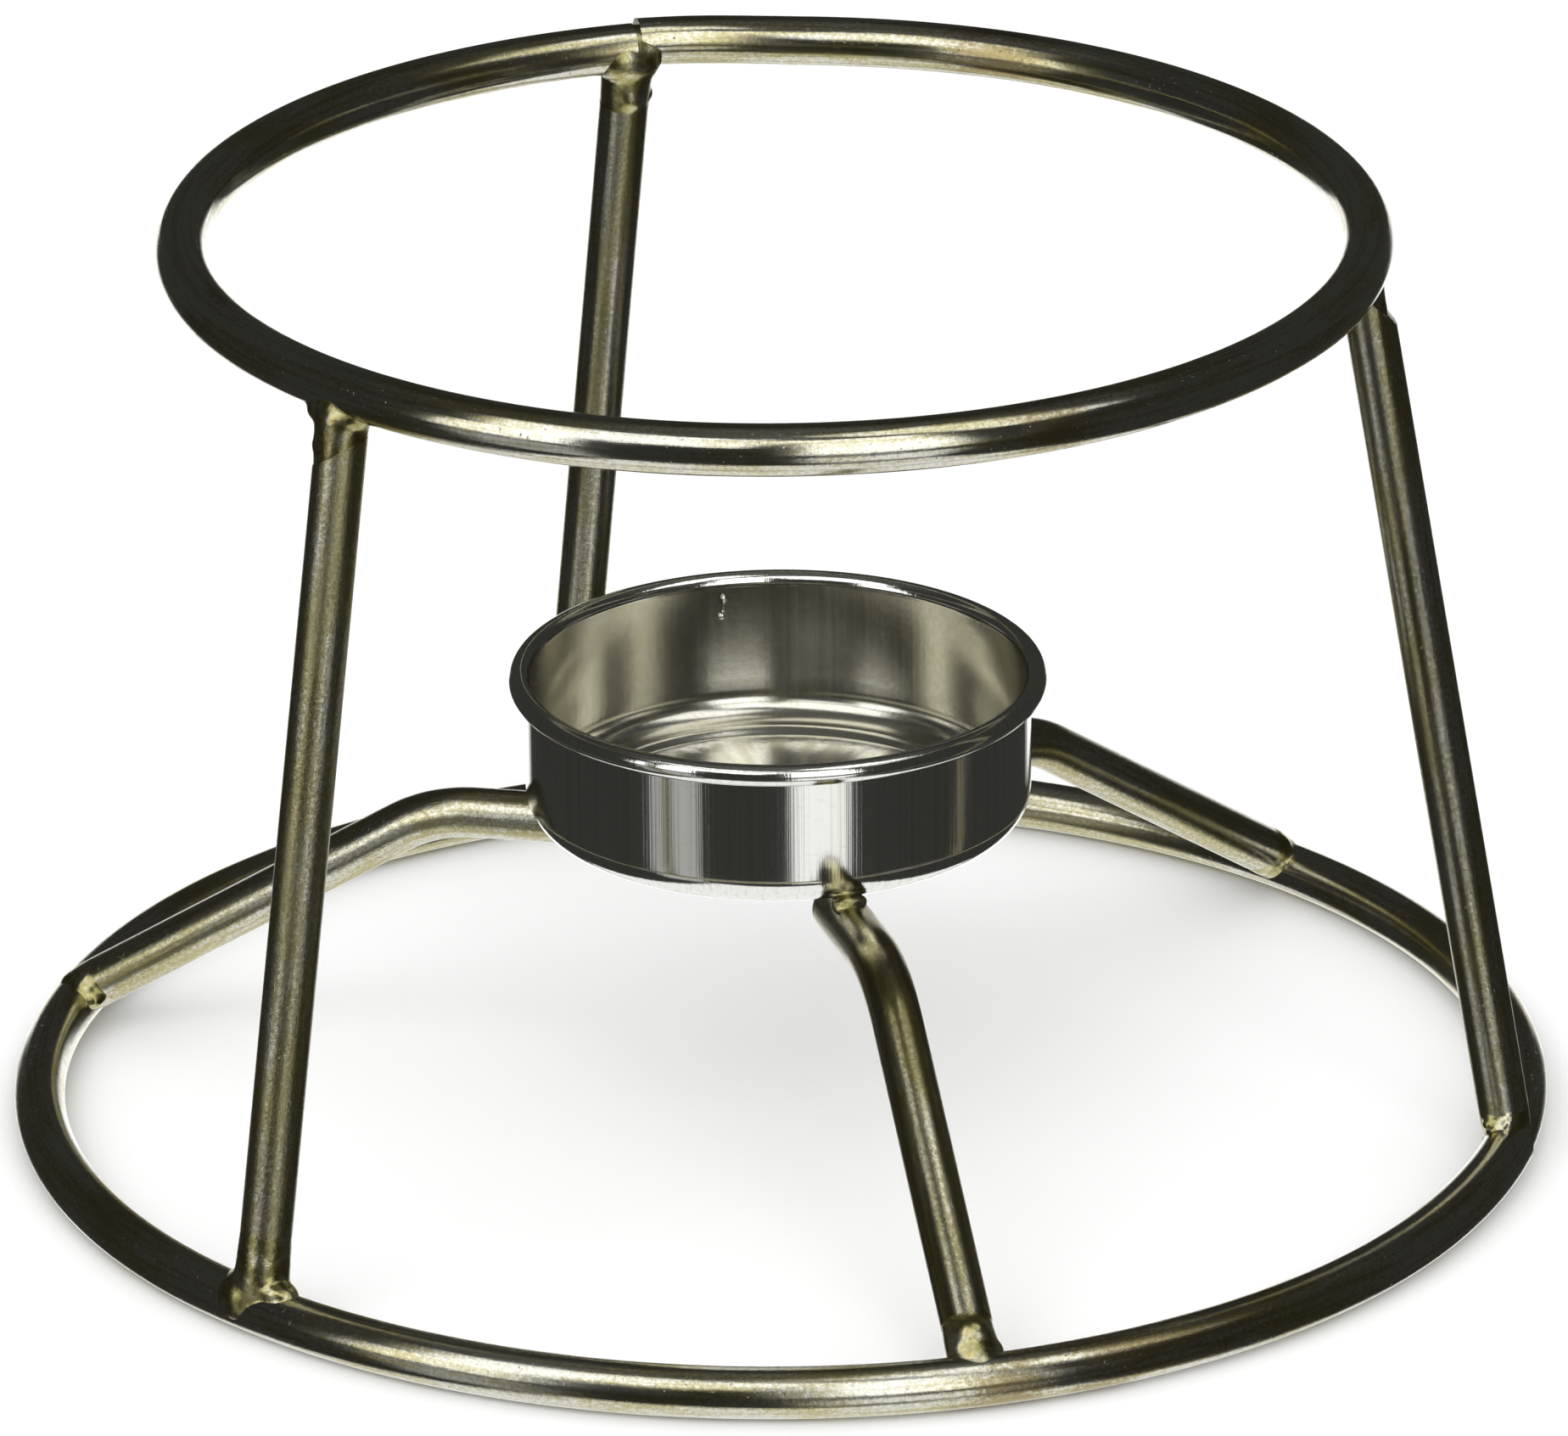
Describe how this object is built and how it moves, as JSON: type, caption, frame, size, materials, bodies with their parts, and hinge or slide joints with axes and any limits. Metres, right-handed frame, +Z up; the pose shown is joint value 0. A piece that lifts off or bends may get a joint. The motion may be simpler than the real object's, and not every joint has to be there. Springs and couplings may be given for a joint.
{
  "type": "warmer stand",
  "caption": "Welded wire warmer stand: a small top ring on leaning legs over a wider base ring, with bent arms that hold a shallow drawn metal cup for fuel or a tea light in the middle.",
  "frame": {"origin": "middle of the base ring, on the surface the stand rests on", "axes": "+Z up through the middle of both rings and the cup; -Y is the front, on the side of arm_front; +X is to the right seen from the front"},
  "size_m": [0.122, 0.122, 0.075],
  "materials": {
    "wire": "nickel-plated round wire, half bright, with drawing streaks, pits and straw to brown heat tint",
    "cup": "bright drawn steel with fine vertical draw lines",
    "weld": "as-welded bead, plated over, uneven, with straw and brown heat tint"
  },
  "bodies": {
    "root": {"top_ring": "wire", "base_ring": "wire", "leg_back": "wire", "leg_left": "wire", "leg_right": "wire", "arm_front": "wire", "arm_left": "wire", "arm_right": "wire", "fuel_cup": "cup", "top_ring_seam_weld": "weld", "base_ring_seam_weld": "weld", "leg_back_top_weld": "weld", "leg_left_top_weld": "weld", "leg_right_top_weld": "weld", "leg_back_foot_weld": "weld", "leg_left_foot_weld": "weld", "leg_right_foot_weld": "weld", "arm_front_foot_weld": "weld", "arm_left_foot_weld": "weld", "arm_right_foot_weld": "weld", "arm_front_cup_weld": "weld", "arm_left_cup_weld": "weld", "arm_right_cup_weld": "weld"}
  },
  "joints": []
}
